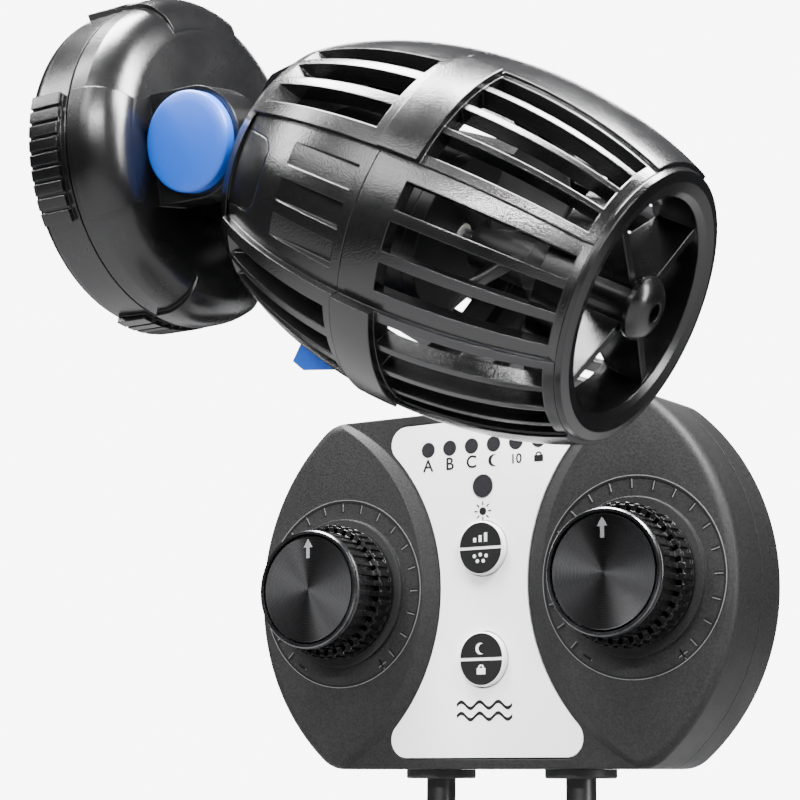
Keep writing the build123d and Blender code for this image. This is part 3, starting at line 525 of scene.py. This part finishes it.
def dial_marks(side, place):
    """The dial's dark line and ticks, and its minus and plus signs, each with a painted highlight: a
    thin grey copy along one side.
    """
    middle = (TICK_INNER + TICK_OUTER) / 2
    # The "light" tone is a painted highlight: a thin grey strip laid along one side of each dark mark.
    for tone, look, shift, half_width in (("dark", INK, 0.0, 0.24), ("light", PAINTED_EDGE_HIGHLIGHT, 0.34, 0.1)):
        bm = bmesh.new()
        inner, outer = DIAL_RADIUS + shift - half_width, DIAL_RADIUS + shift + half_width
        turned(bm, [(inner, 0), (outer, 0), (outer, PRINT_HEIGHT), (inner, PRINT_HEIGHT)], steps=128)
        for tick in range(-TICKS_EACH_WAY, TICKS_EACH_WAY + 1):
            bar = rectangle(shift - half_width, shift + half_width, TICK_INNER, TICK_OUTER)
            slab(bm, turned_by(bar, -tick * TICK_STEP), 0, PRINT_HEIGHT)
        level = rectangle(-SIGN_HALF_LENGTH, SIGN_HALF_LENGTH, -half_width, half_width)
        upright = rectangle(-half_width, half_width, -SIGN_HALF_LENGTH, SIGN_HALF_LENGTH)
        for angle, is_plus in ((SIGN_ANGLE, False), (-SIGN_ANGLE, True)):
            x, y = turned_by([(0, middle)], angle)[0]
            centre = (x + shift * 0.7, y - shift * 0.7)
            slab(bm, turned_by(level, angle, centre), 0, PRINT_HEIGHT)
            if is_plus:
                slab(bm, turned_by(upright, angle, centre), 0, PRINT_HEIGHT + 0.01)
        piece(f"{side}_dial_marks_{tone}", bm, place, "inner_mount", look)


for side in DIALS:
    knob_place, face_top = knob_cap(side)
    knob_trim(side, knob_place, face_top)
    dial_marks(side, knob_place)

# ---------------------------------------------------------------- controller: plate, buttons and labels
PLATE_TOP = (PANEL_CENTRE.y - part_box("faceplate")[0].y) / MM
BUTTON_TOP = (PANEL_CENTRE.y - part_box("mode_button")[0].y) / MM
BUTTON_Y = {
    key: ((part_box(f"{key}_button")[0].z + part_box(f"{key}_button")[1].z) / 2 - PANEL_CENTRE.z) / MM
    for key in ("mode", "night")
}
HALF_RADIUS, HALF_GAP = 5.65, 0.35
LED_PITCH = 6.1
LABEL_Y = 28.3
SUN_Y = 17.6
PLATE_PRINT_HEIGHT = 0.06
LETTER_SIZE, NUMBER_SIZE, LETTER_RAISE, LETTER_BOLD = 4.2, 3.2, 0.03, 0.07
WAVE_LENGTH, WAVE_HEIGHT, WAVE_CYCLES, WAVE_STEPS = 15.0, 0.75, 3, 48
WAVE_Y, WAVE_ROW_PITCH, WAVE_HALF_WIDTH = -27.6, 2.6, 0.42


def crescent(centre, radius):
    """A moon: an outer arc closed by a shallower one."""
    outer = arc(centre, radius, 60, 300, 18)
    inner = arc((centre[0] + radius * 0.45, centre[1]), radius * 0.87, 279, 81, 14)
    return outer + inner


def padlock(bm, centre, size, low, high):
    """A lock: a body and its shackle."""
    x, y = centre
    body_top = y + size * 0.35
    slab(bm, rectangle(x - size, x + size, y - size * 0.9, body_top), low, high)
    outer = arc((x, body_top), size * 0.72, 0, 180, 10)
    inner = arc((x, body_top), size * 0.42, 180, 0, 10)
    slab(bm, outer + inner, low, high)


def half_moons(key):
    """The two black half discs on a white button, with a plain white sign on each."""
    centre = (0, BUTTON_Y[key])
    low, high = BUTTON_TOP - PRINT_SINK, BUTTON_TOP + PLATE_PRINT_HEIGHT
    bm = bmesh.new()
    for turn in (0, 180):
        half = arc((0, HALF_GAP), HALF_RADIUS, 0, 180, 36)
        slab(bm, turned_by(half, turn, centre), low, high)
    piece(f"{key}_button_halves", bm, PANEL, f"{key}_key", INK)
    bm = bmesh.new()
    x, y = centre
    low, high = high - PRINT_SINK, high + PLATE_PRINT_HEIGHT
    if key == "mode":
        for i in (-1, 0, 1):
            bar_x, bar_top = x + i * 1.5, y + 2.4 + (i + 1) * 0.55
            slab(bm, rectangle(bar_x - 0.4, bar_x + 0.4, y + 1.4, bar_top), low, high)
        for dx, dy in ((-1.6, -1.9), (0, -1.6), (1.6, -1.9), (-0.8, -3.1), (0.8, -3.1)):
            slab(bm, arc((x + dx, y + dy), 0.45, 0, 330, 11), low, high)
    else:
        slab(bm, crescent((x - 0.1, y + 2.4), 1.35), low, high)
        padlock(bm, (x, y - 2.5), 1.15, low, high)
    piece(f"{key}_button_signs", bm, PANEL, f"{key}_key", WHITE)


def letter(name, text, x, y, size):
    """A short printed label on the plate."""
    data = bpy.data.curves.new(name, "FONT")
    data.body = text
    data.size = size * MM
    data.align_x = "CENTER"
    data.extrude = LETTER_RAISE * MM
    data.offset = LETTER_BOLD * MM
    data.materials.append(INK)
    made = bpy.data.objects.new(name, data)
    bpy.context.scene.collection.objects.link(made)
    made.matrix_world = PANEL @ Matrix.Translation(Vector((x, y, PLATE_TOP + LETTER_RAISE)) * MM)
    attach(made, "inner_mount")


def plate_signs():
    """A moon and a lock under their lights, a sun under the light sensor, and a double wave."""
    bm = bmesh.new()
    low, high = PLATE_TOP - PRINT_SINK, PLATE_TOP + PLATE_PRINT_HEIGHT
    slab(bm, crescent((LED_PITCH * 0.5, LABEL_Y + 1.2), 1.45), low, high)
    padlock(bm, (LED_PITCH * 2.5, LABEL_Y + 1.0), 1.2, low, high)
    sun = (0, SUN_Y)
    slab(bm, arc(sun, 0.95, 0, 345, 23), low, high)
    for i in range(8):
        slab(bm, turned_by(rectangle(1.4, 2.3, -0.16, 0.16), i * 45, sun), low, high)
    for row in (0, 1):
        top, bottom = [], []
        for i in range(WAVE_STEPS + 1):
            x = WAVE_LENGTH * (i / WAVE_STEPS - 0.5)
            y = WAVE_Y - row * WAVE_ROW_PITCH + WAVE_HEIGHT * sin(2 * pi * WAVE_CYCLES * i / WAVE_STEPS)
            top.append((x, y + WAVE_HALF_WIDTH))
            bottom.append((x, y - WAVE_HALF_WIDTH))
        for i in range(WAVE_STEPS):
            slab(bm, [bottom[i], bottom[i + 1], top[i + 1], top[i]], low, high)
    bmesh.ops.remove_doubles(bm, verts=bm.verts, dist=WELD)
    piece("plate_signs", bm, PANEL, "inner_mount", INK)


for key in BUTTON_Y:
    half_moons(key)
for i, text in enumerate("ABC"):
    letter(f"label_{text}", text, LED_PITCH * (i - 2.5), LABEL_Y - 0.1, LETTER_SIZE)
letter("label_minutes", "10", LED_PITCH * 1.5, LABEL_Y, NUMBER_SIZE)
plate_signs()

# ---------------------------------------------------------------- floor and light
FLOOR_RADIUS, FLOOR_GAP = 0.8, 0.0002
FILL_STRENGTH, BACKDROP_STRENGTH = 0.05, 8.0

bm = bmesh.new()
bmesh.ops.create_circle(bm, cap_ends=True, segments=96, radius=FLOOR_RADIUS)
floor_mesh = bpy.data.meshes.new("floor")
bm.to_mesh(floor_mesh)
bm.free()
floor = bpy.data.objects.new("floor", floor_mesh)
floor.location = (0, 0, FLOOR_Z - FLOOR_GAP)
floor_look = Shader("floor", (0.24, 0.24, 0.245), 0.8, Specular_IOR_Level=0.1)
floor_mesh.materials.append(floor_look.material)
bpy.context.scene.collection.objects.link(floor)

world = bpy.data.worlds.new("world")
bpy.context.scene.world = world
world.use_nodes = True
world_nodes, world_links = world.node_tree.nodes, world.node_tree.links
fill = world_nodes["Background"]
fill.inputs["Color"].default_value = (0.9, 0.93, 1.0, 1)
fill.inputs["Strength"].default_value = FILL_STRENGTH
backdrop = world_nodes.new("ShaderNodeBackground")
backdrop.inputs["Color"].default_value = (1, 1, 1, 1)
backdrop.inputs["Strength"].default_value = BACKDROP_STRENGTH
chooser = world_nodes.new("ShaderNodeMixShader")
path = world_nodes.new("ShaderNodeLightPath")
world_links.new(path.outputs["Is Camera Ray"], chooser.inputs["Fac"])
world_links.new(fill.outputs["Background"], chooser.inputs[1])
world_links.new(backdrop.outputs["Background"], chooser.inputs[2])
world_links.new(chooser.outputs["Shader"], world_nodes["World Output"].inputs["Surface"])


def softbox(name, place, target, size, power):
    """A rectangular area light aimed at a point."""
    data = bpy.data.lights.new(name, "AREA")
    data.shape = "RECTANGLE"
    data.size, data.size_y = size
    data.energy = power
    made = bpy.data.objects.new(name, data)
    made.location = place
    made.rotation_mode = "QUATERNION"
    made.rotation_quaternion = (Vector(target) - Vector(place)).to_track_quat("-Z", "Y")
    bpy.context.scene.collection.objects.link(made)


AIM = (0.05, 0.02, -0.06)
softbox("top_light", (-0.16, -0.04, 0.58), AIM, (0.30, 0.30), 30)
softbox("key_light", (-0.20, -0.70, 0.40), AIM, (0.28, 0.30), 4)
softbox("strip_light", (0.24, -0.62, 0.22), AIM, (0.50, 0.012), 9)
softbox("left_light", (-0.42, -0.30, 0.42), (-0.02, 0.0, 0.02), (0.08, 0.40), 4)
softbox("right_light", (0.85, 0.05, 0.12), AIM, (0.14, 0.60), 10)
softbox("back_light", (-0.35, 0.60, 0.30), AIM, (0.45, 0.25), 7)
softbox("panel_light", (0.13, 0.0, 0.07), (0.05, 0.0775, -0.06), (0.12, 0.05), 2.2)
